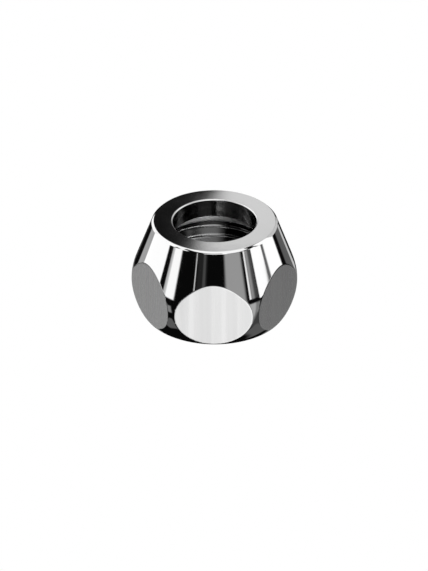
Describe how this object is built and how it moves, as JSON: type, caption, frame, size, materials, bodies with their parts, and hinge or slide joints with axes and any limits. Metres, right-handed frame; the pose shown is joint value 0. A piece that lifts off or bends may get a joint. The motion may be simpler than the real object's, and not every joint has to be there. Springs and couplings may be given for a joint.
{
  "type": "compression nut",
  "caption": "Hexagon compression nut with a turned crown, a plain pipe bore, a conical seat and an internal pipe thread.",
  "frame": {"origin": "centre of the flat ring that the nut stands on, at its threaded end", "axes": "+Z along the bore towards the crown's flat top face; +X through a corner of the hexagon, +Y through the middle of a flat"},
  "size_m": [0.0282, 0.025, 0.017],
  "materials": {
    "nut": "bright chrome plate over turned brass, satin on the hexagon's flats"
  },
  "bodies": {
    "root": {"nut": "nut"}
  },
  "joints": []
}
